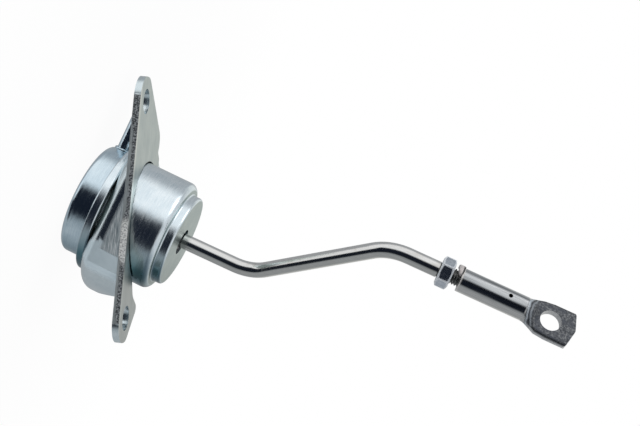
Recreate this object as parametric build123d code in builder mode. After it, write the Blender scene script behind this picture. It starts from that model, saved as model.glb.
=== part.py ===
from build123d import *
import os
from math import cos, radians, sin, tan

os.makedirs("parts", exist_ok=True)

# Wastegate actuator, millimetres.
# Origin: midway between the two bracket holes, on the bracket face at the rod side.
# +Z runs along the canister axis towards the rod end, +X lies across it towards the lower ear.

# Bracket
bracket_tilt = 20.0  # angle between the plate's normal and the canister axis, degrees
sheet = 2.6
bolt_spacing = 83.0
bolt_hole_radius = 4.8
near_edge = -10.0  # straight sheared edge, measured across from the hole line
ear_reach = 9.4  # from a hole centre to the end of its ear
pocket_floor_radius = 5.2  # outside corner between the pocket's wall and its seat
pocket_lower_flat = 33.8  # the wall is flat this far below the plate's middle
gap_near = 8.0  # where the opening in the pocket's lower wall starts
gap_width = 36.0
gap_level = -22.0  # level of the open part's floor, from the boss face
gap_slope = 7.0  # width of its slanted sides
gap_slope_height = 9.0

# Bracket outline: places across from the hole line, and levels up the plate from its middle
ear_flank = 3.0  # where both ears start to widen
ear_corner = 9.0
flank_corner = 6.0
upper_shoulder = 29.2
upper_shoulder_level = 30.6
step_across = 31.2  # the plate's far edge beside the cup
step_depth = 2.8
step_level = 21.0
ring_top_level = 17.0
ring_rise = 9.5
ring_flange = 2.3  # the plate's far edge stands out past the pocket by this much
ring_upper_inset = 2.0  # and lies inside it by these two further up and down
ring_lower_inset = 1.7
ring_end_level = -22.0
lower_shoulder = 16.6
lower_shoulder_level = -38.4
lower_waist = 3.8
lower_waist_level = -22.9
lower_curve = 8.0
lower_curve_level = -33.6

# Canister
axis_x = 5.0
near_wall_gap = 0.8  # from the cup to the pocket's wall at the sheared edge
boss_face = 18.5  # height of the boss face
boss_step = 4.1  # the boss is narrower than the cup by this much all round
boss_height = 3.8
boss_corner = 1.1
boss_hole_radius = 5.2
cup_radius = 22.6
pocket_gap = 7.0  # from the cup to the inside of the pocket's round wall
cup_shoulder = 2.9
shell = 1.0
seat_depth = 28.7  # from the boss face down to the back of the bracket's seat
rim_width = 3.9  # the rim stands out from the cup by this much
rim_corner = 0.9
crimp_lip = 2.4  # width of the rim's folded lip
cap_height = 13.0  # from the bracket's seat to the cap's outside face
lip_gap = 1.5  # from the folded lip to the cap's wall
cap_corner = 2.4
cup_hole_clearance = 0.6
crimp_clearance = 0.3

# Diaphragm, piston and spring
rubber = 0.6
wall_clearance = 0.4  # between the rubber and the shells or the piston
roll_gap = 0.8  # half the gap between the diaphragm's two legs
roll_height = 8.0  # top of the rolled fold above the clamped face
piston_height = 14.0
plate_thickness = 0.8
plate_margin = 2.0  # the plate is smaller than the piston by this much
rivet_radius = 4.0
rivet_height = 0.8
rest_gap = 0.3  # between the rivet head and the cap at rest
neck_radius = 2.2
wire_radius = 1.1
spring_turns = 6

# Guide
guide_radius = 8.0
guide_length = 3.2
guide_clearance = 0.05
guide_float = 1.0  # sideways play of the guide, which lets the rod lean
retainer_sheet = 0.8
seat_clearance = 0.1

# Rod, nut and rod end
rod_radius = 3.0
rod_lean = 1.0  # the rod leans in the can towards the upper ear, degrees
shoulder_radius = 4.5
shoulder_height = 2.0
bend_radius = 18.0
first_bend = 29.8  # from the boss face to where the first two runs meet
bend_advance = 45.9  # along the axis between the two bends
bend_offset = 44.5  # sideways between the two bends
bend_turn = 43.4  # the bends' plane, turned about the rod towards the near edge, degrees
nut_place = 19.4  # from the second bend to the nut
nut_thickness = 4.9
nut_flats = 10.0
thread_clearance = 0.05
nut_gap = 3.2  # thread left bare between the nut and the sleeve
sleeve_radius = 4.5
sleeve_length = 25.3
thread_in_sleeve = 18.0
bore_past_rod = 2.0
press_length = 6.0  # where the round sleeve becomes flat
eye_reach = 4.2  # from the end of the press to the eye's centre
eye_radius = 4.0
eye_width = 15.0
eye_thickness = 3.0
eye_nose = 9.6  # from the eye's centre to the end
eye_nose_point = 1.8  # how far the middle of the end stands out
eye_turn = 33.0  # the eye's face, turned about the rod, degrees
eye_setback = 1.2  # the flat lies this far behind the rod's axis
waist_width = 14.0  # where the press ends
sight_hole_radius = 0.8
tab_length = 2.0
tab_width = 2.4
tab_lift = 0.4

# Hose nipple
nipple_radius = 2.5
nipple_bore = 1.5
nipple_chamfer = 0.4
bead_radius = 3.0
bead_room = 0.43  # between the bead and the back of the bracket's plate
bead_tail = 1.8  # from the bead's middle to the nipple's end

# Radii and places that follow from those above
axis_y = near_edge + sheet + near_wall_gap + cup_radius
boss_radius = cup_radius - boss_step
rim_radius = cup_radius + rim_width
cap_radius = rim_radius - crimp_lip - lip_gap
pocket_radius = cup_radius + pocket_gap + sheet
gap_far = gap_near + gap_width
ring_far = axis_y + pocket_radius + ring_flange
ring_bulge = axis_y + pocket_radius - ring_upper_inset
ring_end = axis_y + pocket_radius - ring_lower_inset
leg_outside = cup_radius - shell - wall_clearance
leg_inside = leg_outside - 2 * rubber - 2 * roll_gap
piston_radius = leg_inside - wall_clearance
plate_radius = piston_radius - plate_margin
retainer_inside = guide_radius + guide_float
retainer_outside = retainer_inside + retainer_sheet
spring_radius = (retainer_outside + piston_radius - shell) / 2

# Levels along the axis
seat_back = boss_face - seat_depth
seat_front = seat_back + sheet
rim_layers = 3 * shell + rubber
rim_back = seat_back - rim_layers
clamp_top = seat_back - shell
clamp_bottom = clamp_top - rubber
cap_back = seat_back - cap_height
cap_inside = cap_back + shell
plate_back = cap_inside + rest_gap + rivet_height
rubber_back = plate_back + plate_thickness
piston_back = rubber_back + rubber
piston_floor = piston_back + shell
boss_inside = boss_face - shell

# Planes and axes
canister_axis = Axis((axis_x, axis_y, 0), (0, 0, 1))
canister_section = Plane(origin=(axis_x, axis_y, 0), x_dir=(1, 0, 0), z_dir=(0, -1, 0))
tilt = radians(bracket_tilt)
plate_plane = Plane(origin=(0, 0, 0), x_dir=(0, 1, 0), z_dir=(-sin(tilt), 0, cos(tilt)))
plate_up = Vector(-cos(tilt), 0, -sin(tilt))
ring_middle = -axis_x / cos(tilt)

# The rod leans about the middle of the piston's floor.
lean = radians(rod_lean)
rod_foot = Plane(
    origin=(axis_x, axis_y, piston_floor),
    x_dir=(cos(lean), 0, sin(lean)),
    z_dir=(-sin(lean), 0, cos(lean)),
)


def rod_level(height):
    return rod_foot.offset(height - piston_floor)


def canister_level(height):
    return Plane(origin=(axis_x, axis_y, height), x_dir=(1, 0, 0), z_dir=(0, 0, 1))


def round_corner(profile, point, radius):
    corner = profile.vertices().sort_by_distance(Vector(*point))[0]
    fillet(corner, radius)


# The pocket is a round cup about the canister axis, flat along the sheared edge.
def pocket_block(inset, floor, floor_radius):
    near = near_edge + inset - axis_y
    with BuildPart() as block:
        with BuildSketch(canister_level(floor)) as shape:
            Circle(pocket_radius - inset)
            with Locations((0, near + 2 * pocket_radius)):
                Rectangle(4 * pocket_radius, 4 * pocket_radius, mode=Mode.INTERSECT)
        extrude(amount=2 * pocket_radius)
        fillet(block.faces().sort_by(Axis.Z)[0].edges(), floor_radius)
        lower_flat = Plane(
            origin=plate_up * (inset - pocket_lower_flat), x_dir=(0, 1, 0), z_dir=plate_up
        )
        split(bisect_by=lower_flat, keep=Keep.TOP)
        split(bisect_by=plate_plane.offset(-sheet / 2), keep=Keep.BOTTOM)
    return block.part


pocket_inside = pocket_block(sheet, seat_front, pocket_floor_radius - sheet)

with BuildPart() as mounting_bracket:
    add(pocket_block(0, seat_back, pocket_floor_radius))
    add(pocket_inside, mode=Mode.SUBTRACT)
    gap_floor = boss_face + gap_level
    gap_top = gap_floor + 3 * pocket_radius
    with BuildSketch(Plane(origin=(axis_x, 0, 0), x_dir=(0, 1, 0), z_dir=(1, 0, 0))):
        with BuildLine():
            Polyline(
                (gap_near, gap_top),
                (gap_near, gap_floor + gap_slope_height),
                (gap_near + gap_slope, gap_floor),
                (gap_far - gap_slope, gap_floor),
                (gap_far, gap_floor + gap_slope_height),
                (gap_far, gap_top),
                close=True,
            )
        make_face()
    extrude(amount=2 * pocket_radius, mode=Mode.SUBTRACT)
    with BuildSketch(plate_plane) as plate:
        with BuildLine():
            ear_end = bolt_spacing / 2 + ear_reach
            step_foot = step_across - step_depth
            waist_foot = (lower_waist + 1.3, (lower_waist_level + lower_curve_level) / 2)
            Polyline(
                (axis_y, ring_middle),
                (lower_waist, lower_waist_level),
                waist_foot,
                (lower_curve, lower_curve_level),
                (lower_shoulder, lower_shoulder_level),
                (ear_flank, -ear_end),
                (near_edge, -ear_end),
                (near_edge, ear_end),
                (ear_flank, ear_end),
                (upper_shoulder, upper_shoulder_level),
                (upper_shoulder, step_level + 2 * sheet),
                (step_foot, step_level + sheet),
                (step_across, step_level),
                (step_across, ring_top_level),
            )
            ThreePointArc(
                (step_across, ring_top_level), (ring_bulge, ring_rise), (ring_far, ring_middle)
            )
            ThreePointArc(
                (ring_far, ring_middle),
                ((ring_far + ring_end) / 2 + 1, (ring_middle + ring_end_level) / 2),
                (ring_end, ring_end_level),
            )
            Line((ring_end, ring_end_level), (axis_y, ring_middle))
        make_face()
        round_corner(plate, (near_edge, ear_end), ear_corner)
        round_corner(plate, (near_edge, -ear_end), ear_corner)
        round_corner(plate, (ear_flank, ear_end), flank_corner)
        round_corner(plate, (ear_flank, -ear_end), flank_corner)
        round_corner(plate, (upper_shoulder, upper_shoulder_level), 2 * sheet)
        round_corner(plate, (lower_shoulder, lower_shoulder_level), 0.8 * sheet)
        round_corner(plate, (lower_curve, lower_curve_level), 2 * sheet)
        round_corner(plate, (step_across, step_level), sheet / 2)
    extrude(amount=-sheet)
    with BuildSketch(canister_level(cap_back)):
        Circle(cup_radius + cup_hole_clearance)
    extrude(amount=4 * pocket_radius, mode=Mode.SUBTRACT)
    with BuildSketch(canister_level(cap_back)):
        Circle(rim_radius + rest_gap)
    extrude(amount=seat_back - cap_back, mode=Mode.SUBTRACT)
    with BuildSketch(plate_plane):
        with Locations((0, bolt_spacing / 2), (0, -bolt_spacing / 2)):
            Circle(bolt_hole_radius)
    extrude(amount=-sheet, mode=Mode.SUBTRACT)
mounting_bracket.part.label = "mounting_bracket"
export_step(mounting_bracket.part, "parts/mounting_bracket.step")

# Front shell: boss, stepped cup and the flange whose edge folds round the cap's flange
with BuildPart() as rod_housing:
    with BuildSketch(canister_section) as section:
        step = boss_face - boss_height
        with BuildLine():
            Polyline(
                (boss_hole_radius, boss_face),
                (boss_radius, boss_face),
                (boss_radius, step),
                (cup_radius, step),
                (cup_radius, seat_back),
                (rim_radius, seat_back),
                (rim_radius, rim_back),
                (rim_radius - crimp_lip, rim_back),
                (rim_radius - crimp_lip, rim_back + shell),
                (rim_radius - shell, rim_back + shell),
                (rim_radius - shell, clamp_top),
                (cup_radius - shell, clamp_top),
                (cup_radius - shell, step - shell),
                (boss_radius - shell, step - shell),
                (boss_radius - shell, boss_inside),
                (boss_hole_radius, boss_inside),
                close=True,
            )
        make_face()
        round_corner(section, (boss_radius, boss_face), boss_corner)
        round_corner(section, (boss_radius, step), 0.7)
        round_corner(section, (cup_radius, step), cup_shoulder)
        round_corner(section, (cup_radius - shell, step - shell), cup_shoulder - shell)
        round_corner(section, (cup_radius, seat_back), 0.5)
        round_corner(section, (rim_radius, seat_back), rim_corner)
        round_corner(section, (rim_radius, rim_back), rim_corner)
        round_corner(section, (rim_radius - crimp_lip, rim_back), 0.4)
    revolve(axis=canister_axis)
rod_housing.part.label = "rod_housing"
export_step(rod_housing.part, "parts/rod_housing.step")

# Back shell, with the hose nipple's hole on the side towards the upper ear
nipple_level = (rim_back + cap_back) / 2
nipple_plane = Plane(origin=(axis_x, axis_y, nipple_level), x_dir=(0, 1, 0), z_dir=(-1, 0, 0))
with BuildPart() as pressure_cap:
    with BuildSketch(canister_section) as section:
        flange_radius = rim_radius - shell - crimp_clearance
        with BuildLine():
            Polyline(
                (flange_radius, clamp_bottom),
                (flange_radius, clamp_bottom - shell),
                (cap_radius, clamp_bottom - shell),
                (cap_radius, cap_back),
                (0, cap_back),
                (0, cap_inside),
                (cap_radius - shell, cap_inside),
                (cap_radius - shell, clamp_bottom),
                close=True,
            )
        make_face()
        round_corner(section, (cap_radius, clamp_bottom - shell), 0.5)
        round_corner(section, (cap_radius, cap_back), cap_corner)
        round_corner(section, (cap_radius - shell, cap_inside), cap_corner - shell)
    revolve(axis=canister_axis)
    with BuildSketch(nipple_plane):
        Circle(nipple_radius)
    extrude(amount=2 * cap_radius, mode=Mode.SUBTRACT)
pressure_cap.part.label = "pressure_cap"
export_step(pressure_cap.part, "parts/pressure_cap.step")

# Pressure port, brazed through the cap's wall, with a bead that holds the hose
with BuildPart() as hose_nipple:
    inner_end = cap_radius - shell - rest_gap
    plate_back_level = nipple_level + bead_radius + bead_room
    bead_middle = axis_x - (plate_back_level + sheet / cos(tilt)) / tan(tilt)
    outer_end = bead_middle + bead_tail
    bead_half = 2 * (bead_radius - nipple_radius)
    with BuildSketch(Plane(origin=nipple_plane.origin, x_dir=(0, 0, 1), z_dir=(0, 1, 0))):
        with BuildLine():
            Polyline(
                (nipple_radius, bead_half - bead_middle),
                (nipple_radius, -inner_end),
                (nipple_bore, -inner_end),
                (nipple_bore, -outer_end),
                (nipple_radius - nipple_chamfer, -outer_end),
                (nipple_radius, nipple_chamfer - outer_end),
                (nipple_radius, -bead_half - bead_middle),
            )
            ThreePointArc(
                (nipple_radius, -bead_half - bead_middle),
                (bead_radius, -bead_middle),
                (nipple_radius, bead_half - bead_middle),
            )
        make_face()
    revolve(axis=Axis(nipple_plane.origin, (1, 0, 0)))
hose_nipple.part.label = "hose_nipple"
export_step(hose_nipple.part, "parts/hose_nipple.step")

# Rolling diaphragm, clamped in the rim and folded between the cup's wall and the piston
roll_centre = (leg_outside + leg_inside) / 2
roll_level = clamp_top + roll_height
neck_hole = neck_radius + guide_clearance
with BuildPart() as diaphragm:
    with BuildSketch(canister_section):
        with BuildLine():
            Polyline(
                (leg_outside, roll_level),
                (leg_outside, clamp_top),
                (rim_radius - shell - crimp_clearance, clamp_top),
                (rim_radius - shell - crimp_clearance, clamp_bottom),
                (leg_outside - rubber, clamp_bottom),
                (leg_outside - rubber, roll_level),
            )
            ThreePointArc(
                (leg_outside - rubber, roll_level),
                (roll_centre, roll_level + roll_gap),
                (leg_inside + rubber, roll_level),
            )
            Polyline(
                (leg_inside + rubber, roll_level),
                (leg_inside + rubber, rubber_back),
                (neck_hole, rubber_back),
                (neck_hole, piston_back),
                (leg_inside, piston_back),
                (leg_inside, roll_level),
            )
            ThreePointArc(
                (leg_inside, roll_level),
                (roll_centre, roll_level + roll_gap + rubber),
                (leg_outside, roll_level),
            )
        make_face()
    revolve(axis=canister_axis)
diaphragm.part.label = "diaphragm"
export_step(diaphragm.part, "parts/diaphragm.step")

with BuildPart() as piston_cup:
    with BuildSketch(canister_section) as section:
        with BuildLine():
            Polyline(
                (neck_hole, piston_back),
                (piston_radius, piston_back),
                (piston_radius, piston_back + piston_height),
                (piston_radius - shell, piston_back + piston_height),
                (piston_radius - shell, piston_floor),
                (neck_hole, piston_floor),
                close=True,
            )
        make_face()
        round_corner(section, (piston_radius, piston_back), 2 * shell)
        round_corner(section, (piston_radius - shell, piston_floor), shell)
    revolve(axis=canister_axis)
piston_cup.part.label = "piston_cup"
export_step(piston_cup.part, "parts/piston_cup.step")

with BuildPart() as diaphragm_plate:
    with BuildSketch(canister_level(plate_back)):
        Circle(plate_radius)
        Circle(neck_hole, mode=Mode.SUBTRACT)
    extrude(amount=plate_thickness)
diaphragm_plate.part.label = "diaphragm_plate"
export_step(diaphragm_plate.part, "parts/diaphragm_plate.step")

# Guide that floats with the rod, its spigot loose in the boss hole, and the pressed ring that holds it
guide_tilt_room = seat_clearance + guide_radius * tan(lean)
guide_top = boss_inside - guide_tilt_room
guide_bottom = guide_top - guide_length
guide_bore = rod_radius + guide_clearance
spigot_radius = boss_hole_radius - guide_float
guide_section = Plane(origin=rod_foot.origin, x_dir=rod_foot.x_dir, z_dir=(0, -1, 0))
with BuildPart() as rod_guide:
    with BuildSketch(guide_section):
        with BuildLine():
            Polyline(
                (guide_bore, guide_bottom - piston_floor),
                (guide_radius, guide_bottom - piston_floor),
                (guide_radius, guide_top - piston_floor),
                (spigot_radius, guide_top - piston_floor),
                (spigot_radius, boss_inside + shell / 3 - piston_floor),
                (guide_bore, boss_inside + shell / 3 - piston_floor),
                close=True,
            )
        make_face()
    revolve(axis=Axis(rod_foot.origin, rod_foot.z_dir))
rod_guide.part.label = "rod_guide"
export_step(rod_guide.part, "parts/rod_guide.step")

retainer_floor = guide_bottom - guide_tilt_room
retainer_hole = rod_radius + guide_float + rest_gap
with BuildPart() as guide_retainer:
    with BuildSketch(canister_section):
        with BuildLine():
            Polyline(
                (retainer_inside, boss_inside),
                (boss_radius - shell - rest_gap, boss_inside),
                (boss_radius - shell - rest_gap, boss_inside - retainer_sheet),
                (retainer_outside, boss_inside - retainer_sheet),
                (retainer_outside, retainer_floor - retainer_sheet),
                (retainer_hole, retainer_floor - retainer_sheet),
                (retainer_hole, retainer_floor),
                (retainer_inside, retainer_floor),
                close=True,
            )
        make_face()
    revolve(axis=canister_axis)
guide_retainer.part.label = "guide_retainer"
export_step(guide_retainer.part, "parts/guide_retainer.step")

# Return spring between the piston and the retainer
spring_bottom = piston_floor + wire_radius + seat_clearance / 2
spring_top = boss_inside - retainer_sheet - wire_radius - seat_clearance / 2
spring_rise = spring_top - spring_bottom
with BuildPart() as return_spring:
    with BuildLine() as coil:
        Helix(
            pitch=spring_rise / spring_turns,
            height=spring_rise,
            radius=spring_radius,
            center=(axis_x, axis_y, spring_bottom),
        )
    with BuildSketch(Plane(origin=coil.line @ 0, z_dir=coil.line % 0)):
        Circle(wire_radius)
    sweep(path=coil.line, is_frenet=True)
return_spring.part.label = "return_spring"
export_step(return_spring.part, "parts/return_spring.step")

# Rod: both bends lie in one plane through its axis
turn = radians(bend_turn)
bend_out = -cos(turn) * rod_foot.x_dir - sin(turn) * rod_foot.y_dir
bend_plane = Plane(
    origin=rod_foot.origin, x_dir=bend_out, z_dir=bend_out.cross(rod_foot.z_dir)
)
first_bend_level = boss_face + first_bend
second_bend_level = first_bend_level + bend_advance
nut_level = second_bend_level + nut_place
sleeve_level = nut_level + nut_thickness + nut_gap
rod_end_level = sleeve_level + thread_in_sleeve


def tip_point(height):
    return rod_level(height).origin + bend_offset * bend_out


def tip_plane(height):
    return Plane(origin=tip_point(height), x_dir=rod_foot.x_dir, z_dir=rod_foot.z_dir)


with BuildPart() as actuator_rod:
    with BuildLine(bend_plane) as route:
        FilletPolyline(
            (0, shoulder_height / 2),
            (0, first_bend_level - piston_floor),
            (bend_offset, second_bend_level - piston_floor),
            (bend_offset, rod_end_level - piston_floor),
            radius=bend_radius,
        )
    with BuildSketch(rod_level(piston_floor + shoulder_height / 2)):
        Circle(rod_radius)
    sweep(path=route.line)
    chamfer(actuator_rod.faces().sort_by(Axis.Z)[-1].edges(), 0.6)
    with BuildSketch(canister_level(piston_floor)):
        Circle(shoulder_radius)
    extrude(amount=shoulder_height)
    with BuildSketch(canister_level(plate_back)):
        Circle(neck_radius)
    extrude(amount=piston_floor - plate_back)
    with BuildSketch(canister_level(plate_back - rivet_height)):
        Circle(rivet_radius)
    extrude(amount=rivet_height)
actuator_rod.part.label = "actuator_rod"
export_step(actuator_rod.part, "parts/actuator_rod.step")

# Lock nut, a hexagon chamfered at both ends
thread_bore = rod_radius + thread_clearance
nut_corner = nut_flats / 2 / cos(radians(30))
nut_face_radius = 0.95 * nut_flats / 2
nut_bevel = (nut_corner - nut_face_radius) * tan(radians(30))
with BuildPart() as lock_nut:
    with BuildSketch(tip_plane(nut_level)):
        RegularPolygon(radius=nut_corner, side_count=6)
    extrude(amount=nut_thickness)
    with BuildSketch(Plane(origin=tip_point(nut_level), x_dir=rod_foot.x_dir, z_dir=(0, -1, 0))):
        with BuildLine():
            Polyline(
                (thread_bore + 0.5, 0),
                (nut_face_radius, 0),
                (nut_corner, nut_bevel),
                (nut_corner, nut_thickness - nut_bevel),
                (nut_face_radius, nut_thickness),
                (thread_bore + 0.5, nut_thickness),
                (thread_bore, nut_thickness - 0.5),
                (thread_bore, 0.5),
                close=True,
            )
        make_face()
    revolve(axis=Axis(tip_point(nut_level), rod_foot.z_dir), mode=Mode.INTERSECT)
lock_nut.part.label = "lock_nut"
export_step(lock_nut.part, "parts/lock_nut.step")

# Rod end: a tube, threaded inside, pressed flat into an eye
face_turn = radians(eye_turn)
eye_normal = -sin(face_turn) * rod_foot.x_dir - cos(face_turn) * rod_foot.y_dir
eye_across = cos(face_turn) * rod_foot.x_dir - sin(face_turn) * rod_foot.y_dir
press_level = sleeve_level + sleeve_length
flat_level = press_level + press_length
eye_level = flat_level + eye_reach
sleeve_bore_end = rod_end_level + bore_past_rod


def across_plane(height):
    return Plane(origin=tip_point(height), x_dir=eye_across, z_dir=rod_foot.z_dir)


eye_plane = Plane(origin=tip_point(eye_level), x_dir=eye_across, z_dir=eye_normal)
with BuildPart() as rod_end:
    with BuildSketch(across_plane(eye_level)):
        with Locations((0, eye_setback)):
            SlotOverall(eye_width, eye_thickness)
    extrude(amount=eye_nose)
    with BuildSketch(eye_plane) as nose:
        shoulder = eye_nose - eye_nose_point
        with BuildLine():
            Polyline(
                (-eye_width, -2 * eye_nose),
                (eye_width, -2 * eye_nose),
                (eye_width, 0),
                (eye_width / 2, 0),
                (eye_width / 2, shoulder),
                (0, eye_nose),
                (-eye_width / 2, shoulder),
                (-eye_width / 2, 0),
                (-eye_width, 0),
                close=True,
            )
        make_face()
        round_corner(nose, (eye_width / 2, shoulder), 1.6)
        round_corner(nose, (-eye_width / 2, shoulder), 1.6)
        round_corner(nose, (0, eye_nose), 3.0)
    extrude(amount=eye_thickness, both=True, mode=Mode.INTERSECT)
    with BuildSketch(across_plane(eye_level)):
        with Locations((0, eye_setback)):
            SlotOverall(eye_width, eye_thickness)
    with BuildSketch(across_plane(flat_level)):
        with Locations((0, eye_setback)):
            SlotOverall(waist_width, eye_thickness)
    loft()
    with BuildSketch(across_plane(flat_level)):
        with Locations((0, eye_setback)):
            SlotOverall(waist_width, eye_thickness)
    with BuildSketch(across_plane(press_level)):
        Circle(sleeve_radius)
    loft()
    with BuildSketch(across_plane(sleeve_level)):
        Circle(sleeve_radius)
    extrude(amount=sleeve_length)
    with BuildSketch(across_plane(sleeve_level)):
        Circle(thread_bore)
    extrude(amount=sleeve_bore_end - sleeve_level, mode=Mode.SUBTRACT)
    with BuildSketch(eye_plane):
        Circle(eye_radius)
    extrude(amount=eye_thickness, both=True, mode=Mode.SUBTRACT)
    sight_plane = Plane(origin=tip_point(rod_end_level + bore_past_rod / 3), z_dir=eye_normal)
    with BuildSketch(sight_plane):
        Circle(sight_hole_radius)
    extrude(amount=2 * sleeve_radius, mode=Mode.SUBTRACT)
    with BuildSketch(tip_plane(sleeve_level - tab_length)):
        with Locations((-(thread_bore + sleeve_radius) / 2 - tab_lift, 0)):
            Rectangle(sleeve_radius - thread_bore, tab_width)
    extrude(amount=tab_length + tab_lift)
rod_end.part.label = "rod_end"
export_step(rod_end.part, "parts/rod_end.step")
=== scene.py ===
import math

import bmesh
import bpy
from mathutils import Matrix, Vector

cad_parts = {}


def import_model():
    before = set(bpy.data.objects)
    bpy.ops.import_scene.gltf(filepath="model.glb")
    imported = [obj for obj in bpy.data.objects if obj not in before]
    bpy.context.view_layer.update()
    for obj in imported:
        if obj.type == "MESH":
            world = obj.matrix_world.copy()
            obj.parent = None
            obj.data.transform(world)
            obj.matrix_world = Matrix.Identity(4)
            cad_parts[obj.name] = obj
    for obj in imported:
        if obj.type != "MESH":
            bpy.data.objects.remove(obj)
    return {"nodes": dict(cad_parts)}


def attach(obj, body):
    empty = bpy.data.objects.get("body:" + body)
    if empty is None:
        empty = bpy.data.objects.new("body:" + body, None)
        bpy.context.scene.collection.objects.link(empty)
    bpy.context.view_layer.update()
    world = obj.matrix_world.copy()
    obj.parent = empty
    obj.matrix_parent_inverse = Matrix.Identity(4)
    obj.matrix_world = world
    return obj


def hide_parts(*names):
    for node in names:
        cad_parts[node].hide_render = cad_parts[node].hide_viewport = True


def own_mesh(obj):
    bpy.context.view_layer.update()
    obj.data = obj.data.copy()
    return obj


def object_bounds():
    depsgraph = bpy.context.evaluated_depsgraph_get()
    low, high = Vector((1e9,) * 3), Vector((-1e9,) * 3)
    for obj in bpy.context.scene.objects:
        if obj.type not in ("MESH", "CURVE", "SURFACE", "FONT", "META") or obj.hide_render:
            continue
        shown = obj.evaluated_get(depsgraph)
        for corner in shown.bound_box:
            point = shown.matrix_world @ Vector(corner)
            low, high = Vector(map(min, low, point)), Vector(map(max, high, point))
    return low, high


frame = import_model()
cad_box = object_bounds()
nodes = frame["nodes"]

MM = 0.001

# Directions in the part's frame
LOWER = (1, 0, 0)  # towards the lower ear
FAR = (0, 1, 0)  # away from the camera's side
NEAR = (0, -1, 0)
ALONG = (0, 0, 1)  # along the can, towards the rod end

# Places and directions taken from the part's own geometry, in metres
PLATE_TILT = math.radians(20)
ROD_LEAN = math.radians(1)
CAN_AXIS = Vector((5.0, 16.0, 0.0)) * MM
PLATE_NORMAL = Vector((-math.sin(PLATE_TILT), 0, math.cos(PLATE_TILT)))
PLATE_UP = Vector((-math.cos(PLATE_TILT), 0, -math.sin(PLATE_TILT)))
ROD_AXIS = Vector((-math.sin(ROD_LEAN), 0, math.cos(ROD_LEAN)))
ROD_SIDE = Vector((math.cos(ROD_LEAN), 0, math.sin(ROD_LEAN)))
ROD_TIP = Vector((-30.09211, -14.57539, 139.11159)) * MM  # middle of the rod's end
EYE_NORMAL = Vector((-0.544556084, -0.838670568, -0.009505262))
NUT_MIDDLE = Vector((-29.67936, -14.57539, 115.4652)) * MM

# Measures of the part that the finishes follow, in millimetres
NEAR_EDGE = -10.0  # the sheared edge and the flat behind it, across the part
SHEET = 2.6  # the bracket's thickness
EDGE_HALF = 52.0  # half the length that the sheared edge's pattern is spread over
NUT_HALF = 2.45
NUT_CORNER = 5.77
CHAMFER_FROM = 4.9  # radius where the nut's chamfer starts
CHAMFER_SLOPE = 0.577
SLEEVE_DEPTH = 18.0  # from the sleeve's mouth to the rod's end
PRESS_FROM = 7.3  # where the sleeve is pressed flat, past the rod's end
WALL_RADIUS = 20  # turns an angle round the can into a length
DARK_REFLECTION_DEPTH = 12.0  # the dark streak's far side lies within this depth behind the front face


# Materials


def set_stops(ramp, stops):
    """stops are (position, number or colour), in rising order."""
    elements = ramp.color_ramp.elements
    while len(elements) > 1:
        elements.remove(elements[-1])
    for index, (position, colour) in enumerate(stops):
        if not isinstance(colour, tuple):
            colour = (colour, colour, colour)
        element = elements[0] if index == 0 else elements.new(position)
        element.position = position
        element.color = (*colour, 1)


class Graph:
    """A node tree built step by step; each method adds nodes and returns a socket."""

    def __init__(self, owner):
        owner.use_nodes = True
        self.tree = owner.node_tree
        self.tree.nodes.clear()

    def add(self, kind, **settings):
        node = self.tree.nodes.new(kind)
        for key, value in settings.items():
            setattr(node, key, value)
        return node

    def feed(self, socket, value):
        """Link a socket, or set a constant."""
        if isinstance(value, bpy.types.NodeSocket):
            self.tree.links.new(value, socket)
        else:
            socket.default_value = value

    def math(self, operation, a, b=0.0):
        node = self.add("ShaderNodeMath", operation=operation)
        self.feed(node.inputs[0], a)
        self.feed(node.inputs[1], b)
        return node.outputs[0]

    def times(self, first, *others):
        for other in others:
            first = self.math("MULTIPLY", first, other)
        return first

    def inverse(self, mask):
        return self.math("SUBTRACT", 1.0, mask)

    def either(self, a, b):
        return self.math("MAXIMUM", a, b)

    def reach(self, a, b):
        """Distance from an axis, given two distances square to it."""
        return self.math("SQRT", self.math("ADD", self.times(a, a), self.times(b, b)))

    def vector(self, operation, a, b=(0, 0, 0)):
        node = self.add("ShaderNodeVectorMath", operation=operation)
        self.feed(node.inputs[0], a)
        self.feed(node.inputs[1], b)
        return node.outputs["Value" if operation in ("DOT_PRODUCT", "LENGTH") else "Vector"]

    def ramp(self, value, *stops):
        node = self.add("ShaderNodeValToRGB")
        set_stops(node, stops)
        self.feed(node.inputs[0], value)
        return node.outputs[0]

    def span(self, value, low, high):
        """0 at low, 1 at high, and even beyond them; high may be the smaller number."""
        node = self.add("ShaderNodeMapRange", clamp=True)
        self.feed(node.inputs["Value"], value)
        node.inputs["From Min"].default_value = low
        node.inputs["From Max"].default_value = high
        return node.outputs[0]

    def band(self, value, low, high, soft):
        """1 between low and high, with edges softened by soft each way."""
        rise = self.span(value, low - soft, low + soft)
        fall = self.span(value, high - soft, high + soft)
        return self.math("SUBTRACT", rise, fall)

    def mix(self, share, a, b, blend="MIX"):
        node = self.add("ShaderNodeMix", data_type="RGBA", blend_type=blend)
        self.feed(node.inputs[0], share)
        for socket, value in ((node.inputs[6], a), (node.inputs[7], b)):
            if isinstance(value, tuple) and len(value) == 3:
                value = (*value, 1)
            self.feed(socket, value)
        return node.outputs[2]

    def tint(self, mask, tone, factor):
        """Multiply a tone by a colour where the mask is 1."""
        return self.mix(mask, tone, self.mix(1.0, tone, factor, "MULTIPLY"))

    def mix_number(self, share, a, b):
        node = self.add("ShaderNodeMix", data_type="FLOAT")
        self.feed(node.inputs[0], share)
        self.feed(node.inputs[2], a)
        self.feed(node.inputs[3], b)
        return node.outputs[0]


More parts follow.
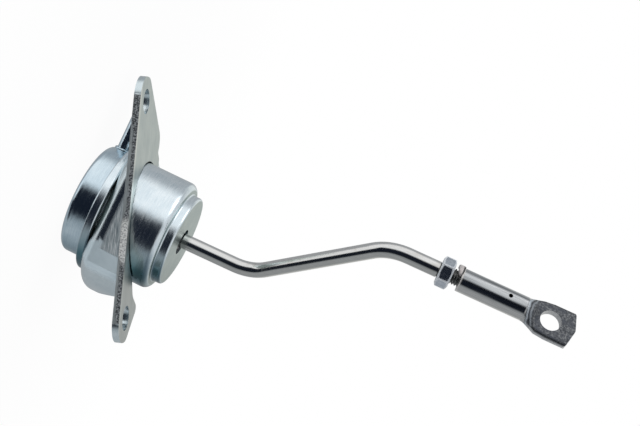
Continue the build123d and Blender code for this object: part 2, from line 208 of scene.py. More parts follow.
class Paint(Graph):
    """A material; places are read in the part's frame and given in millimetres."""

    def __init__(self, name, **sockets):
        self.material = bpy.data.materials.new(name)
        super().__init__(self.material)
        output = self.add("ShaderNodeOutputMaterial")
        self.shader = self.add("ShaderNodeBsdfPrincipled")
        self.tree.links.new(self.shader.outputs[0], output.inputs[0])
        for key, value in sockets.items():
            self.shader.inputs[key.replace("_", " ")].default_value = value
        self.place = self.add("ShaderNodeTexCoord").outputs["Object"]
        self.normal = self.add("ShaderNodeTexCoord").outputs["Normal"]

    def along(self, direction, origin=(0, 0, 0)):
        """Distance along a direction, in millimetres."""
        shifted = self.vector("SUBTRACT", self.place, tuple(origin))
        return self.times(self.vector("DOT_PRODUCT", shifted, tuple(direction)), 1 / MM)

    def facing(self, direction):
        """1 where the surface faces a direction, 0 where it is square to it."""
        return self.vector("DOT_PRODUCT", self.normal, tuple(direction))

    def join(self, x, y, z):
        node = self.add("ShaderNodeCombineXYZ")
        for socket, value in zip(node.inputs, (x, y, z)):
            self.feed(socket, value)
        return node.outputs[0]

    def ring_place(self, around=1.0, along=1.0):
        """Cylinder places about the can's axis, in millimetres: round the wall, along it, radius."""
        x = self.along(LOWER, CAN_AXIS)
        y = self.along(FAR, CAN_AXIS)
        z = self.along(ALONG, CAN_AXIS)
        turn = self.math("ARCTAN2", y, x)
        return self.join(self.times(turn, around * WALL_RADIUS), self.times(z, along), self.reach(x, y))

    def stretched(self, sizes):
        """Places scaled so that one unit is the given number of millimetres on each axis."""
        return self.vector("MULTIPLY", self.place, tuple(1 / (s * MM) for s in sizes))

    def noise(self, place, scale=1.0, detail=3.0, roughness=0.55):
        node = self.add("ShaderNodeTexNoise")
        self.feed(node.inputs["Vector"], place)
        node.inputs["Scale"].default_value = scale
        node.inputs["Detail"].default_value = detail
        node.inputs["Roughness"].default_value = roughness
        return node.outputs[0]

    def colour(self, value):
        self.feed(self.shader.inputs["Base Color"], value)

    def rough(self, value):
        self.feed(self.shader.inputs["Roughness"], value)

    def bare(self, share):
        """Where the share is above 0 the surface is less of a mirror."""
        self.feed(self.shader.inputs["Metallic"], self.inverse(share))

    def bump(self, height, depth):
        """depth is the height's full range in millimetres."""
        node = self.add("ShaderNodeBump")
        node.inputs["Strength"].default_value = 1.0
        node.inputs["Distance"].default_value = depth * MM
        self.feed(node.inputs["Height"], height)
        last = self.shader.inputs["Normal"]
        if last.is_linked:
            self.tree.links.new(last.links[0].from_socket, node.inputs["Normal"])
        self.tree.links.new(node.outputs[0], last)


def bracket_front(p, level, across, cloud):
    """Front face: green-grey, with painted light beside the can, painted shade on the lower ear, and a paler,
    warmer painted sheen along the near edge.
    """
    green = p.ramp(cloud, (0.3, (0.32, 0.375, 0.365)), (0.7, (0.40, 0.45, 0.425)))
    deep = p.ramp(cloud, (0.3, (0.20, 0.22, 0.215)), (0.7, (0.26, 0.28, 0.27)))
    # Painted light beside the can
    green = p.mix(p.band(level, -24.5, -17.0, 1.0), green, (0.66, 0.72, 0.70))
    # Painted shade on the lower ear, in the deep tone
    lower_ear_shade = p.span(level, -25.0, -28.5)
    green = p.mix(lower_ear_shade, green, deep)
    # A paler, warmer painted sheen along the near edge, with painted shade on the lower ear
    near_edge_sheen_and_shade = p.mix(lower_ear_shade, (0.56, 0.58, 0.54), (0.32, 0.345, 0.335))
    return p.mix(p.span(across, -7.4, -8.4), green, near_edge_sheen_and_shade)


def dark_reflection_streak(p, level, depth):
    """A dark painted reflection as a streak on the flat, widest near its lower end; it starts above the
    flat's foot.
    """
    edge = p.ramp(
        p.span(level, -14.0, 16.0),
        (0.03, 0.78),
        (0.12, 0.90),
        (0.24, 0.82),
        (0.50, 0.575),
        (0.82, 0.35),
        (1.0, 0.22),
    )
    inside = p.span(p.math("SUBTRACT", p.times(edge, DARK_REFLECTION_DEPTH), depth), -0.5, 0.6)
    return p.times(inside, p.span(level, -13.0, -11.8))


def torn_part(p, level, depth):
    """The front part of the sheared edge, torn where the punch broke through."""
    share = p.ramp(
        p.span(level, -EDGE_HALF, EDGE_HALF),
        (0.02, 0.1),
        (0.07, 0.35),
        (0.12, 0.62),
        (0.31, 0.68),
        (0.33, 1.0),
        (0.46, 1.0),
        (0.50, 0.52),
        (0.78, 0.56),
        (0.83, 0.98),
        (0.92, 0.92),
        (0.95, 0.05),
    )
    wobble = p.noise(p.join(p.times(level, 0.45), 0.0, 0.0), 1.0, 2)
    torn_to = p.math("ADD", p.times(share, SHEET), p.math("SUBTRACT", wobble, 0.5))
    return p.span(p.math("SUBTRACT", torn_to, depth), -0.12, 0.12)


def bracket_zinc():
    """Satin zinc with painted light and shade on the front face; the flat behind the near edge is scuffed,
    with painted reflections on the rest of it, and the sheared edge is bare.
    """
    p = Paint("bracket_zinc", Metallic=1.0)
    level = p.along(PLATE_UP)  # from midway between the holes, towards the upper ear
    depth = p.times(p.along(PLATE_NORMAL), -1.0)  # behind the front face
    across = p.along(FAR)
    fine = p.noise(p.stretched((0.5, 0.5, 0.5)), detail=4)
    cloud = p.noise(p.stretched((7, 5, 9)), detail=3)
    drag = p.noise(p.join(p.times(level, 0.06), p.times(depth, 2.4), across), 1.0, 3)

    blue = p.ramp(cloud, (0.3, (0.56, 0.65, 0.69)), (0.7, (0.68, 0.76, 0.79)))
    front = p.times(p.span(p.facing(PLATE_NORMAL), 0.8, 0.95), p.span(depth, 0.6, 0.2))
    tone = p.mix(front, blue, bracket_front(p, level, across, cloud))
    tone = p.mix(0.2, tone, p.ramp(drag, (0.3, (0.50, 0.53, 0.53)), (0.7, (0.86, 0.88, 0.87))))

    # The flat behind the sheared edge is scuffed down to a crease
    near_face = p.times(p.span(across, NEAR_EDGE + 0.14, NEAR_EDGE + 0.03), p.span(p.facing(NEAR), 0.8, 0.97))
    behind_sheet = p.span(depth, SHEET, SHEET + 0.15)
    crease = p.math("ADD", level, p.times(p.math("SUBTRACT", depth, 2.3), -0.39))
    below = p.times(behind_sheet, p.span(crease, -18.6, -18.3))
    scuffed = p.times(near_face, below, p.span(p.along(ALONG), -4.8, -3.4))
    lines = p.noise(p.join(p.times(crease, 0.16), p.times(depth, 3.2), across), 1.0, 4, 0.65)
    scuff = p.ramp(lines, (0.34, (0.20, 0.24, 0.27)), (0.5, (0.40, 0.46, 0.49)), (0.66, (0.85, 0.87, 0.87)))

    # The rest of the flat, and its rounded foot, get a pale painted reflection, but for a streak of dark
    # painted reflection
    near_foot = p.times(
        p.span(across, -6.6, -8.2),
        p.span(level, -12.0, -13.0),
        p.span(p.facing(NEAR), 0.15, 0.4),
    )
    on_flat = p.times(p.either(near_face, near_foot), behind_sheet)
    pale_reflection_flat = p.times(on_flat, p.inverse(dark_reflection_streak(p, level, depth)))
    tone = p.mix(pale_reflection_flat, tone, p.ramp(cloud, (0.3, (0.64, 0.76, 0.82)), (0.7, (0.76, 0.88, 0.94))))
    tone = p.mix(scuffed, tone, scuff)

    # The sheared edge is burnished behind and torn in front, with a bright run beside the pocket
    in_sheet = p.times(p.span(depth, SHEET + 0.12, SHEET - 0.04), p.span(depth, -0.1, 0.05))
    sheared = p.times(near_face, in_sheet)
    is_torn = torn_part(p, level, depth)
    grain = p.noise(p.join(p.times(level, 1.7), p.times(depth, 1.3), 0.0), 1.0, 3, 0.7)
    dark = p.ramp(grain, (0.36, (0.025, 0.03, 0.035)), (0.48, (0.11, 0.12, 0.13)), (0.62, (0.52, 0.55, 0.57)))
    light = p.ramp(grain, (0.33, (0.20, 0.21, 0.22)), (0.47, (0.72, 0.73, 0.72)), (0.6, (1.0, 1.0, 0.98)))
    torn = p.mix(p.band(level, -20.0, -4.0, 1.5), dark, light)
    burnished = p.ramp(drag, (0.3, (0.22, 0.25, 0.26)), (0.7, (0.50, 0.54, 0.55)))
    p.colour(p.mix(sheared, tone, p.mix(is_torn, burnished, torn)))

    back_rough = p.ramp(cloud, (0.3, 0.22), (0.7, 0.26))
    front_rough = p.ramp(fine, (0.3, 0.36), (0.7, 0.42))
    rough = p.mix_number(scuffed, p.mix_number(front, back_rough, front_rough), 0.5)
    p.rough(p.mix_number(sheared, rough, 0.55))
    p.bare(p.either(p.times(p.either(scuffed, sheared), 0.55), p.times(pale_reflection_flat, 0.72)))
    p.bump(p.times(drag, p.span(depth, 3.2, 2.7)), 0.02)
    p.bump(p.times(lines, scuffed), 0.10)
    p.bump(p.times(grain, sheared, is_torn), 0.30)
    p.bump(p.times(fine, front), 0.002)
    return p.material


def can_zinc(name, dull, deep, pale, under_shade_tone):
    """Bright zinc, drawn round the wall; dull is the wall's roughness and under_shade_tone the painted shade
    on the lower side.
    """
    p = Paint(name, Metallic=1.0)
    streak = p.noise(p.ring_place(around=0.22, along=2.0), 1.0, 4, 0.65)
    comb = p.noise(p.ring_place(around=0.16, along=0.8), 1.0, 2)
    cloud = p.noise(p.stretched((6, 6, 6)), detail=3)
    fine = p.noise(p.stretched((0.35, 0.35, 0.35)), detail=2)
    tone = p.ramp(streak, (0.3, deep), (0.7, pale))
    tone = p.mix(0.5, tone, p.ramp(cloud, (0.32, deep), (0.68, pale)))

    # Painted shade on the lower side, most of all at the bottom and on the lower shoulder
    down = p.facing(LOWER)
    forward = p.facing(ALONG)
    tone = p.tint(p.span(down, 0.15, 0.7), tone, under_shade_tone)
    tone = p.tint(p.span(down, 0.62, 0.9), tone, (0.42, 0.50, 0.53))
    tone = p.tint(p.times(p.span(forward, 0.1, 0.4), p.span(down, 0.15, 0.45)), tone, (0.42, 0.46, 0.50))

    # The end face is green-grey, with painted shade towards the bottom
    face = p.ramp(cloud, (0.3, (0.31, 0.375, 0.365)), (0.7, (0.38, 0.435, 0.415)))
    low = p.span(p.along(LOWER, CAN_AXIS), 2.0, 20.0)
    face = p.mix(p.times(low, 0.45), face, (0.08, 0.105, 0.105))
    on_face = p.span(forward, 0.9, 0.98)
    p.colour(p.mix(on_face, tone, face))
    p.rough(p.mix_number(on_face, p.ramp(streak, (0.25, dull - 0.05), (0.75, dull + 0.09)), 0.38))
    p.bump(comb, 0.10)
    p.bump(streak, 0.015)
    p.bump(fine, 0.002)
    return p.material


def rod_steel():
    p = Paint("rod_steel", Metallic=1.0)
    lines = p.noise(p.stretched((0.25, 0.25, 14)), detail=3)
    cloud = p.noise(p.stretched((4, 4, 9)), detail=3)
    # Painted shade: the side facing down is darker than the upper side
    upper = p.ramp(lines, (0.3, (0.56, 0.555, 0.55)), (0.7, (0.70, 0.70, 0.69)))
    lower = p.ramp(lines, (0.3, (0.44, 0.44, 0.43)), (0.7, (0.54, 0.54, 0.52)))
    tone = p.mix(p.span(p.facing(LOWER), -0.1, 0.3), upper, lower)
    p.colour(p.mix(p.span(cloud, 0.55, 0.72), tone, (0.50, 0.48, 0.45)))
    p.rough(p.ramp(lines, (0.3, 0.10), (0.7, 0.19)))
    p.bump(lines, 0.003)
    return p.material


def thread_steel():
    p = Paint("thread_steel", Metallic=1.0)
    grain = p.noise(p.stretched((0.4, 0.4, 0.4)), detail=4, roughness=0.7)
    p.colour(p.ramp(grain, (0.35, (0.14, 0.142, 0.142)), (0.65, (0.40, 0.402, 0.395))))
    p.rough(p.ramp(grain, (0.3, 0.28), (0.7, 0.46)))
    p.bump(grain, 0.02)
    return p.material


def nut_zinc():
    p = Paint("nut_zinc", Metallic=1.0)
    mottle = p.noise(p.stretched((1.6, 1.6, 1.6)), detail=4, roughness=0.6)
    fine = p.noise(p.stretched((0.3, 0.3, 0.9)), detail=3)
    # Painted highlights on the corners, and a painted highlight ring on the chamfer at each end
    height = p.along(ROD_AXIS, NUT_MIDDLE)
    radius = p.reach(p.along(ROD_SIDE, NUT_MIDDLE), p.along(FAR, NUT_MIDDLE))
    chamfer = p.times(p.math("SUBTRACT", radius, CHAMFER_FROM), CHAMFER_SLOPE)
    from_end = p.math("SUBTRACT", NUT_HALF, p.math("ABSOLUTE", height))
    ring = p.span(p.math("SUBTRACT", from_end, chamfer), 0.62, 0.42)
    corner = p.span(radius, NUT_CORNER - 0.27, NUT_CORNER - 0.15)
    edge_highlight = p.either(ring, corner)
    tone = p.ramp(mottle, (0.3, (0.44, 0.48, 0.54)), (0.7, (0.62, 0.66, 0.71)))
    p.colour(p.mix(edge_highlight, tone, (0.70, 0.73, 0.77)))
    p.bare(p.times(edge_highlight, 0.8))
    p.rough(p.ramp(fine, (0.3, 0.18), (0.7, 0.30)))
    p.bump(mottle, 0.02)
    p.bump(fine, 0.004)
    return p.material


def end_steel():
    """A polished tube with a pale mouth and painted light and shade on its sides, pressed into an eye with
    dark oxide and pale flanks, with painted highlights on the press's step.
    """
    p = Paint("end_steel", Metallic=1.0)
    height = p.along(ROD_AXIS, ROD_TIP)
    lines = p.noise(p.stretched((0.3, 0.3, 8)), detail=3)
    streak = p.noise(p.stretched((1.1, 1.1, 30)), detail=2)
    mottle = p.noise(p.stretched((0.8, 0.8, 0.8)), detail=4, roughness=0.7)
    cloud = p.noise(p.stretched((2.2, 2.2, 2.2)), detail=3)

    # Painted light and shade on the tube: darker on the upper side, paler on the lower side
    upper = p.ramp(streak, (0.36, (0.25, 0.26, 0.27)), (0.62, (0.46, 0.475, 0.49)))
    lower = p.ramp(lines, (0.3, (0.46, 0.455, 0.45)), (0.7, (0.56, 0.555, 0.54)))
    tube = p.mix(p.span(p.facing(LOWER), -0.1, 0.3), upper, lower)
    tube = p.mix(p.times(p.span(lines, 0.5, 0.7), 0.25), tube, (0.8, 0.8, 0.8))
    mouth = p.band(height, 0.05 - SLEEVE_DEPTH, 0.6 - SLEEVE_DEPTH, 0.1)
    tube = p.mix(mouth, tube, (0.62, 0.60, 0.58))

    oxide = p.ramp(
        mottle,
        (0.34, (0.035, 0.038, 0.044)),
        (0.5, (0.09, 0.095, 0.104)),
        (0.66, (0.22, 0.225, 0.23)),
    )
    oxide = p.mix(p.span(cloud, 0.46, 0.66), oxide, (0.07, 0.076, 0.09))
    # The press leaves a curved step between the tube and the flat, with painted highlights along it
    across = p.along(EYE_NORMAL.cross(ROD_AXIS), ROD_TIP)
    bow = p.times(across, across, 0.05)
    wander = p.math("ADD", height, p.times(p.math("SUBTRACT", cloud, 0.5), 1.2))
    wander = p.math("SUBTRACT", wander, bow)
    pressed = p.span(wander, PRESS_FROM, PRESS_FROM + 0.7)
    step_highlights = p.math("ADD", p.band(wander, 7.7, 8.5, 0.25), p.times(p.band(wander, 9.3, 9.9, 0.3), 0.6))
    tone = p.mix(pressed, tube, oxide)
    tone = p.mix(p.times(step_highlights, 0.75), tone, (0.50, 0.55, 0.60))

    turn = p.math("ABSOLUTE", p.facing(EYE_NORMAL))
    flank = p.times(p.span(turn, 0.8, 0.5), p.span(height, 9.0, 11.0))
    p.colour(p.mix(flank, tone, p.ramp(mottle, (0.3, (0.50, 0.50, 0.50)), (0.7, (0.74, 0.74, 0.74)))))
    p.bare(p.either(p.times(step_highlights, 0.6), p.times(mouth, 0.75)))
    p.rough(p.mix_number(pressed, p.ramp(lines, (0.3, 0.13), (0.7, 0.21)), 0.5))
    p.bump(p.times(mottle, pressed), 0.06)
    p.bump(step_highlights, 0.12)
    p.bump(lines, 0.003)
    return p.material


def torn_steel():
    """Bare metal with wear, and painted shade where it meets the sleeve's mouth."""
    p = Paint("torn_steel", Metallic=0.4)
    grain = p.noise(p.stretched((0.7, 0.7, 0.7)), detail=4, roughness=0.65)
    tone = p.ramp(grain, (0.33, (0.42, 0.39, 0.39)), (0.6, (0.64, 0.60, 0.59)))
    # Painted shade in the groove at the sleeve's mouth
    root_shade = p.span(p.along(ROD_AXIS, ROD_TIP), -0.45 - SLEEVE_DEPTH, -0.2 - SLEEVE_DEPTH)
    p.colour(p.mix(root_shade, tone, (0.05, 0.05, 0.05)))
    p.rough(p.ramp(grain, (0.3, 0.45), (0.7, 0.6)))
    p.bump(grain, 0.03)
    return p.material


def plain_steel(name, dark, light, rough):
    p = Paint(name, Metallic=1.0)
    mottle = p.noise(p.stretched((1.4, 1.4, 1.4)), detail=4)
    streak = p.noise(p.ring_place(around=0.15, along=1.8), 1.0, 3)
    p.colour(p.mix(0.4, p.ramp(mottle, (0.3, dark), (0.7, light)), p.ramp(streak, (0.3, dark), (0.7, light))))
    p.rough(p.ramp(mottle, (0.3, rough - 0.06), (0.7, rough + 0.08)))
    p.bump(mottle, 0.012)
    return p.material


def rubber():
    """Rubber with a woven backing."""
    p = Paint("rubber")
    threads = []
    for direction in ("Z", "X"):
        weave = p.add("ShaderNodeTexWave", wave_type="BANDS", bands_direction=direction)
        p.feed(weave.inputs["Vector"], p.ring_place())
        weave.inputs["Scale"].default_value = 1.2
        threads.append(weave.outputs[1])
    fabric = p.times(*threads)
    p.colour(p.ramp(fabric, (0.0, (0.018, 0.018, 0.02)), (1.0, (0.045, 0.045, 0.048))))
    p.rough(p.ramp(fabric, (0.0, 0.75), (1.0, 0.6)))
    p.bump(fabric, 0.03)
    return p.material


def guide_plastic():
    p = Paint("guide_plastic")
    grain = p.noise(p.stretched((0.5, 0.5, 0.5)), detail=4)
    p.colour(p.ramp(grain, (0.3, (0.07, 0.07, 0.072)), (0.7, (0.13, 0.13, 0.13))))
    p.rough(p.ramp(grain, (0.3, 0.42), (0.7, 0.56)))
    p.bump(grain, 0.01)
    return p.material


def paint(thing, material):
    thing.data.materials.clear()
    thing.data.materials.append(material)


can_finish = can_zinc("can_zinc", 0.21, (0.58, 0.67, 0.73), (0.80, 0.86, 0.89), (0.15, 0.28, 0.31))
cap_finish = can_zinc("cap_zinc", 0.17, (0.44, 0.545, 0.62), (0.64, 0.74, 0.80), (0.98, 1.0, 1.0))
pressed_finish = plain_steel("pressed_steel", (0.5, 0.51, 0.5), (0.68, 0.69, 0.68), 0.34)
finishes = {
    "mounting_bracket": bracket_zinc(),
    "rod_housing": can_finish,
    "pressure_cap": cap_finish,
    "hose_nipple": cap_finish,
    "diaphragm": rubber(),
    "diaphragm_plate": pressed_finish,
    "piston_cup": pressed_finish,
    "return_spring": plain_steel("spring_steel", (0.28, 0.29, 0.30), (0.42, 0.43, 0.44), 0.3),
    "rod_guide": guide_plastic(),
    "guide_retainer": pressed_finish,
    "actuator_rod": rod_steel(),
    "lock_nut": nut_zinc(),
    "rod_end": end_steel(),
}
for node_name, finish in finishes.items():
    paint(nodes[node_name], finish)


# Added pieces


def link(name, data):
    thing = bpy.data.objects.new(name, data)
    bpy.context.scene.collection.objects.link(thing)
    return thing


def add_piece(name, mesh, material, body):
    """Turn a finished mesh into a piece that rides on a body."""
    bmesh.ops.recalc_face_normals(mesh, faces=mesh.faces)
    data = bpy.data.meshes.new(name)
    mesh.to_mesh(data)
    mesh.free()
    piece = link(name, data)
    paint(piece, material)
    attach(piece, body)
    return piece


def join_rings(mesh, rings, closed=False):
    """Quads from each ring of points to the next; closed also joins the last ring to the first."""
    following = rings[1:] + rings[:1] if closed else rings[1:]
    faces = []
    for low, high in zip(rings, following):
        for k in range(len(low)):
            n = (k + 1) % len(low)
            faces.append(mesh.faces.new((low[k], low[n], high[n], high[k])))
    for face in faces:
        face.smooth = True
    return faces


# The rod with its thread

THREAD_PITCH = 1.0 * MM
THREAD_OUTSIDE = 3.0 * MM
THREAD_ROOT = 2.45 * MM
THREAD_LENGTH = 26.5 * MM  # back from the rod's end, so that it starts inside the lock nut
THREAD_END_CHAMFER = 0.6 * MM
THREAD_STEPS_ALONG = 8  # for each pitch
THREAD_STEPS_ROUND = 48
TOOTH_SLOPE = 1.35
TOOTH_FLOOR = 0.1


def thread_radius(height, turn):
    """Radius of the threaded rod at a height from the thread's start and a turn from 0 to 1."""
    phase = (height / THREAD_PITCH - turn) % 1.0
    tooth = min(1.0, max(0.0, TOOTH_SLOPE * (1 - abs(2 * phase - 1)) - TOOTH_FLOOR))
    depth = THREAD_ROOT + (THREAD_OUTSIDE - THREAD_ROOT) * tooth
    to_end = THREAD_LENGTH - height
    return min(depth, THREAD_OUTSIDE - THREAD_END_CHAMFER + to_end)


def rod_with_thread():
    """The rod cut off at the thread's start, with a modelled thread from there to its end."""
    thread_start = ROD_TIP - ROD_AXIS * THREAD_LENGTH
    mesh = bmesh.new()
    mesh.from_mesh(nodes["actuator_rod"].data)
    whole = mesh.verts[:] + mesh.edges[:] + mesh.faces[:]
    bmesh.ops.bisect_plane(mesh, geom=whole, plane_co=thread_start, plane_no=ROD_AXIS, clear_outer=True)
    other_side = ROD_AXIS.cross(ROD_SIDE)
    count = int(round(THREAD_LENGTH / THREAD_PITCH * THREAD_STEPS_ALONG))
    rings = []
    for i in range(count + 1):
        height = THREAD_LENGTH * i / count
        ring = []
        for k in range(THREAD_STEPS_ROUND):
            turn = k / THREAD_STEPS_ROUND
            out = ROD_SIDE * math.cos(2 * math.pi * turn) + other_side * math.sin(2 * math.pi * turn)
            ring.append(mesh.verts.new(thread_start + ROD_AXIS * height + out * thread_radius(height, turn)))
        rings.append(ring)
    for face in mesh.faces:
        face.smooth = True
    threaded = join_rings(mesh, rings)
    threaded.append(mesh.faces.new(rings[-1]))
    for face in threaded:
        face.material_index = 1
    data = bpy.data.meshes.new("rod_with_thread")
    mesh.to_mesh(data)
    mesh.free()
    rod = link("rod_with_thread", data)
    data.materials.append(finishes["actuator_rod"])
    data.materials.append(thread_steel())
    data.set_sharp_from_angle(angle=math.radians(35))
    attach(rod, "rod")
    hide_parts("actuator_rod")


# Soft inner pieces


def spring_coil():
    """The return spring as a piece that rides on the can, with a mesh of its own."""
    mesh = bmesh.new()
    mesh.from_mesh(nodes["return_spring"].data)
    coil = add_piece("spring_coil", mesh, finishes["return_spring"], "can")
    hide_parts("return_spring")
    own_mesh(coil)


def diaphragm_parts():
    """The diaphragm in two parts that meet at its fold, both riding on the can; the middle gets a mesh of its
    own.
    """
    source = nodes["diaphragm"].data
    fold_level = max(v.co.z for v in source.vertices)
    fold = [v.co for v in source.vertices if v.co.z > fold_level - 0.05 * MM]
    fold_radius = sum((co - CAN_AXIS).xy.length for co in fold) / len(fold)
    for name, keep_inside in (("diaphragm_middle", True), ("diaphragm_rim", False)):
        mesh = bmesh.new()
        mesh.from_mesh(source)
        bmesh.ops.remove_doubles(mesh, verts=mesh.verts, dist=0.001 * MM)
        away = []
        for face in mesh.faces:
            inside = (face.calc_center_median() - CAN_AXIS).xy.length < fold_radius
            if inside != keep_inside:
                away.append(face)
        bmesh.ops.delete(mesh, geom=away, context="FACES")
        open_edges = [e for e in mesh.edges if e.is_boundary]
        bmesh.ops.bridge_loops(mesh, edges=open_edges)
        part = add_piece(name, mesh, finishes["diaphragm"], "can")
        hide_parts("diaphragm")
        if keep_inside:
            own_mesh(part)


# Braze round the hose nipple

NIPPLE_FOOT = Vector((-17.7, 16.0, -18.5)) * MM
BRAZE_RING = 2.55 * MM
BRAZE_HALF = 0.75 * MM
BRAZE_LOW = 0.8  # its height, as a share of its width
BRAZE_SAG = 0.14 * MM  # it follows the round wall
BRAZE_STEPS_AROUND, BRAZE_STEPS_ACROSS = 56, 14


def nipple_braze():
    """A low uneven fillet of braze where the nipple leaves the cap's wall."""
    mesh = bmesh.new()
    rings = []
    for i in range(BRAZE_STEPS_AROUND):
        turn = 2 * math.pi * i / BRAZE_STEPS_AROUND
        swell = 1 + 0.12 * math.sin(3 * turn + 0.6) + 0.07 * math.sin(7 * turn)
        out = Vector((0, math.cos(turn), math.sin(turn)))
        sag = Vector((math.cos(turn) ** 2 * BRAZE_SAG, 0, 0))
        ring = []
        for k in range(BRAZE_STEPS_ACROSS):
            roll = 2 * math.pi * k / BRAZE_STEPS_ACROSS
            rise = Vector((-math.cos(roll), 0, 0)) * BRAZE_HALF * BRAZE_LOW * swell
            spread = out * (BRAZE_RING + BRAZE_HALF * swell * math.sin(roll))
            ring.append(mesh.verts.new(NIPPLE_FOOT + sag + rise + spread))
        rings.append(ring)
    join_rings(mesh, rings, closed=True)
    add_piece("nipple_braze", mesh, cap_finish, "can")


# Worn lump on the tab at the sleeve's mouth

SLEEVE_MOUTH = ROD_TIP - ROD_AXIS * SLEEVE_DEPTH * MM
LIP_FROM, LIP_TO = -26.0, 72.0  # degrees about the rod, from its -X side towards -Y
LIP_FALL_FROM, LIP_FALL_OVER = 18, 46  # degrees: from here it gets lower and shorter
LIP_INSIDE = 3.15  # millimetres, as the five below
LIP_TOP = 5.1
LIP_SIDE = 4.6
LIP_REACH = 2.15
LIP_SHORTER = 0.85
LIP_ROOT = 0.35
LIP_STEPS_ROUND, LIP_CORNERS = 26, 20


def lip_loop(mesh, share):
    """One closed loop of points across the lump; share runs from 0 to 1 round the rod."""
    degrees = LIP_FROM + (LIP_TO - LIP_FROM) * share
    turn = math.radians(degrees)
    out = -ROD_SIDE * math.cos(turn) - ROD_AXIS.cross(ROD_SIDE) * math.sin(turn)
    fall = min(1.0, max(0.0, (degrees - LIP_FALL_FROM) / LIP_FALL_OVER))
    outside = LIP_TOP + (LIP_SIDE - LIP_TOP) * fall
    reach = LIP_REACH - LIP_SHORTER * fall + 0.08 * math.sin(11 * share)
    end = (1 - abs(2 * share - 1) ** 7) ** 0.5
    half_out = (outside - LIP_INSIDE) / 2
    half_along = (reach + LIP_ROOT) / 2
    middle_along = (LIP_ROOT - reach) / 2
    loop = []
    for k in range(LIP_CORNERS):
        roll = 2 * math.pi * (k + 0.5) / LIP_CORNERS
        c, s = math.cos(roll), math.sin(roll)
        square_out = math.copysign(abs(c) ** 0.5, c) * half_out * end
        square_along = math.copysign(abs(s) ** 0.5, s) * half_along * (0.4 + 0.6 * end)
        radius = LIP_INSIDE + half_out + square_out
        place = SLEEVE_MOUTH + ROD_AXIS * (middle_along + square_along) * MM + out * radius * MM
        loop.append(mesh.verts.new(place))
    return loop


def sleeve_lip():
    mesh = bmesh.new()
    loops = [lip_loop(mesh, i / LIP_STEPS_ROUND) for i in range(LIP_STEPS_ROUND + 1)]
    join_rings(mesh, loops)
    for end_loop in (loops[0], loops[-1]):
        mesh.faces.new(end_loop).smooth = True
    add_piece("sleeve_lip", mesh, torn_steel(), "end")


rod_with_thread()
spring_coil()
diaphragm_parts()
nipple_braze()
sleeve_lip()


# Studio

FLOOR_LEVEL = cad_box[0].z - 0.0002
FLOOR_HALF = 3.0  # metres, as the two below
FADE_FROM = 0.06
FADE_TO = 0.30
LEAST_WHITE = 0.95  # near the object the floor keeps this much plain white and so a faint shadow


def floor():
    """A pale floor that fades to plain white away from the object, for the camera alone."""
    mesh = bmesh.new()
    bmesh.ops.create_grid(mesh, x_segments=1, y_segments=1, size=FLOOR_HALF)
    data = bpy.data.meshes.new("floor")
    mesh.to_mesh(data)
    mesh.free()
    thing = link("floor", data)
    thing.location = (0, 0, FLOOR_LEVEL)
    material = bpy.data.materials.new("floor")
    g = Graph(material)
    output = g.add("ShaderNodeOutputMaterial")
    diffuse = g.add("ShaderNodeBsdfDiffuse")
    diffuse.inputs[0].default_value = (0.85, 0.85, 0.85, 1)
    white = g.add("ShaderNodeEmission")
    white.inputs[0].default_value = (1, 1, 1, 1)
    away = g.vector("LENGTH", g.add("ShaderNodeTexCoord").outputs["Object"])
    fade = g.mix_number(g.span(away, FADE_FROM, FADE_TO), LEAST_WHITE, 1.0)
    mixed = g.add("ShaderNodeMixShader")
    g.feed(mixed.inputs[0], g.times(g.add("ShaderNodeLightPath").outputs["Is Camera Ray"], fade))
    g.feed(mixed.inputs[1], diffuse.outputs[0])
    g.feed(mixed.inputs[2], white.outputs[0])
    g.feed(output.inputs[0], mixed.outputs[0])
    data.materials.append(material)
    thing.visible_glossy = False


# Light round the Z axis, as shares of a turn: 0.5 is the camera's side, 0.75 the side of the upper ear
# and 0.25 the side of the lower ear. A wide soft panel stands beside a dark gap; the rest is grey.
ROUND = (
    (0.00, (0.42, 0.43, 0.44)),
    (0.18, (0.46, 0.48, 0.50)),
    (0.30, (0.50, 0.52, 0.54)),
    (0.365, (0.40, 0.43, 0.45)),
    (0.405, (0.012, 0.016, 0.026)),
    (0.545, (0.012, 0.016, 0.026)),
    (0.59, (1.10, 1.12, 1.13)),
    (0.74, (1.12, 1.12, 1.12)),
    (0.80, (0.48, 0.50, 0.52)),
    (1.00, (0.42, 0.43, 0.44)),
)
# Below, the gap reaches further to the lower ear's side; further down still the panel follows it round.
# Each row: the heights between which the move comes in, and where each share of a turn moves to.
MOVES = (
    (-0.30, -0.55, ((0.0, 0.0), (0.26, 0.245), (0.335, 0.405), (0.545, 0.545), (1.0, 1.0))),
    (
        -0.80,
        -0.92,
        ((0.0, 0.0), (0.26, 0.245), (0.335, 0.40), (0.44, 0.60), (0.50, 0.70), (0.76, 0.74), (1.0, 1.0)),
    ),
)
EVEN = (0.75, 0.76, 0.77)
PALE = (0.85, 0.86, 0.84)
WHITE = (1, 1, 1)


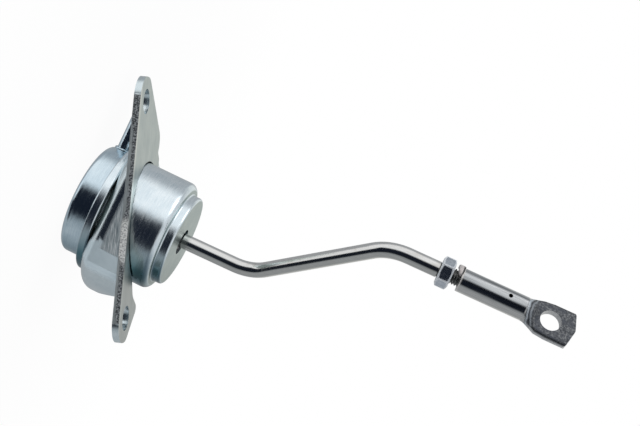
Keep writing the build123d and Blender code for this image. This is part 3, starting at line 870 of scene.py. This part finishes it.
def world():
    """A round studio about the Z axis; the camera itself sees plain white."""
    made = bpy.data.worlds.new("studio")
    bpy.context.scene.world = made
    g = Graph(made)
    output = g.add("ShaderNodeOutputWorld")
    light = g.add("ShaderNodeBackground")
    split = g.add("ShaderNodeSeparateXYZ")
    g.feed(split.inputs[0], g.add("ShaderNodeTexCoord").outputs["Generated"])
    x, y, z = split.outputs
    turn = g.math("ARCTAN2", g.times(x, -1), g.times(y, -1))
    share = g.math("ADD", g.times(turn, 0.5 / math.pi), 0.5)
    moved = share
    for move_from, move_to, stops in MOVES:
        moved = g.mix_number(g.span(z, move_from, move_to), moved, g.ramp(share, *stops))
    tone = g.ramp(moved, *ROUND)
    # Far up the axis, and close to straight down it, the studio is even
    tone = g.mix(g.either(g.span(z, 0.45, 0.85), g.span(z, -0.97, -0.995)), tone, EVEN)
    # Behind the object and above it the backdrop is pale
    tone = g.mix(g.times(g.span(y, 0.4, 0.85), g.span(z, 0.0, 0.14)), tone, PALE)
    tone = g.mix(g.add("ShaderNodeLightPath").outputs["Is Camera Ray"], tone, WHITE)
    g.feed(light.inputs[0], tone)
    g.feed(output.inputs[0], light.outputs[0])


LAMP_PLACE = (-1.0, -0.25, 0.7)
LAMP_TARGET = (0, 0, 0.05)
LAMP_SIZE = 1.0
LAMP_POWER = 3.0


def lamp():
    data = bpy.data.lights.new("key", "AREA")
    data.shape = "DISK"
    data.size = LAMP_SIZE
    data.energy = LAMP_POWER
    thing = link("key", data)
    thing.location = LAMP_PLACE
    thing.rotation_mode = "QUATERNION"
    thing.rotation_quaternion = (Vector(LAMP_TARGET) - Vector(LAMP_PLACE)).to_track_quat("-Z", "Y")


# The photo's view, solved from points of the part
CAMERA_RIGHT = Vector((-0.42931711, 0.08329261, 0.89930482))
CAMERA_UP = Vector((-0.90270025, -0.00802017, -0.43019522))
CAMERA_BACK = Vector((-0.02861951, -0.99649286, 0.07863145))
CAMERA_PLACE = Vector((-0.04211452, -0.44991436, 0.09952057))
LENS = 67.5  # millimetres, on a sensor 36 wide


def camera():
    data = bpy.data.cameras.new("camera")
    data.sensor_width = 36.0
    data.lens = LENS
    data.clip_start = 0.01
    data.clip_end = 20.0
    thing = link("camera", data)
    turned = Matrix((CAMERA_RIGHT, CAMERA_UP, CAMERA_BACK)).transposed().to_4x4()
    thing.matrix_world = Matrix.Translation(CAMERA_PLACE) @ turned
    bpy.context.scene.camera = thing


floor()
world()
lamp()
camera()
bpy.context.scene.view_settings.view_transform = "Standard"
